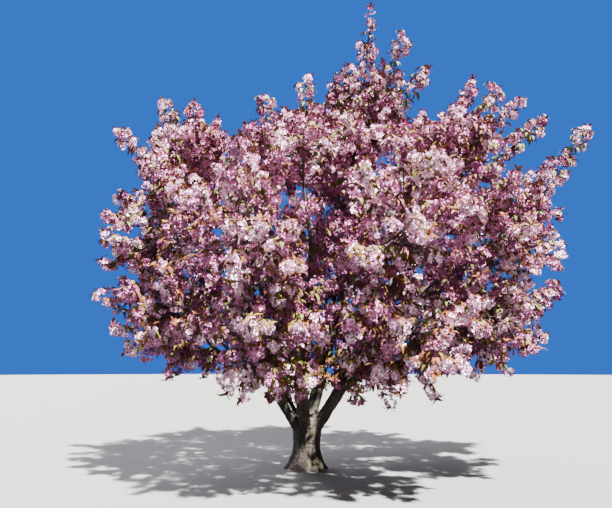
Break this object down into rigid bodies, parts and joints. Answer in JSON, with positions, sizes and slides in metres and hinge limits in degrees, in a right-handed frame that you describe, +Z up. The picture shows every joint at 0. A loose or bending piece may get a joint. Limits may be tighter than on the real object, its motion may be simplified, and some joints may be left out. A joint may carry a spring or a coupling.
{
  "type": "cherry blossom tree",
  "caption": "Rooted flowering cherry in full double pink blossom: short trunk that forks low, spreading boughs, and masses of blossom that make a wide, upright-shooted crown.",
  "frame": {"origin": "middle of the flat cut under the trunk, at ground level", "axes": "+Z up along the trunk, +X to the right in the picture's view, +Y away from it"},
  "size_m": [8.9652, 7.3587, 8.35],
  "materials": {
    "bark": "rough dark brown bark with pale breathing pores and olive lichen",
    "blossom": "soft matt double pink blossom",
    "young_leaf": "thin bronze young leaves, half matt"
  },
  "bodies": {
    "root": {"trunk": "bark", "bough_middle_1": "bark", "bough_middle_2": "bark", "bough_1": "bark", "bough_2": "bark", "bough_3": "bark", "bough_4": "bark", "bough_5": "bark", "bough_6": "bark", "branch_shoulder_1": "bark", "branch_shoulder_2": "bark", "branch_shoulder_3": "bark", "branch_shoulder_4": "bark", "branch_shoulder_5": "bark", "branch_shoulder_6": "bark", "branch_shoulder_7": "bark", "branch_shoulder_8": "bark", "branch_shoulder_9": "bark", "branch_skirt_1": "bark", "branch_skirt_2": "bark", "branch_skirt_3": "bark", "branch_skirt_4": "bark", "branch_skirt_5": "bark", "branch_skirt_6": "bark", "branch_skirt_7": "bark", "branch_skirt_8": "bark", "branch_heart_1": "bark", "branch_heart_2": "bark", "branch_heart_3": "bark", "blossom_crest_1": "blossom", "blossom_crest_2": "blossom", "blossom_upper_1": "blossom", "blossom_upper_2": "blossom", "blossom_upper_3": "blossom", "blossom_upper_4": "blossom", "blossom_upper_5": "blossom", "blossom_upper_6": "blossom", "blossom_shoulder_1": "blossom", "blossom_shoulder_2": "blossom", "blossom_shoulder_3": "blossom", "blossom_shoulder_4": "blossom", "blossom_shoulder_5": "blossom", "blossom_shoulder_6": "blossom", "blossom_shoulder_7": "blossom", "blossom_shoulder_8": "blossom", "blossom_shoulder_9": "blossom", "blossom_skirt_1": "blossom", "blossom_skirt_2": "blossom", "blossom_skirt_3": "blossom", "blossom_skirt_4": "blossom", "blossom_skirt_5": "blossom", "blossom_skirt_6": "blossom", "blossom_skirt_7": "blossom", "blossom_skirt_8": "blossom", "blossom_heart_1": "blossom", "blossom_heart_2": "blossom", "blossom_heart_3": "blossom"}
  },
  "joints": []
}
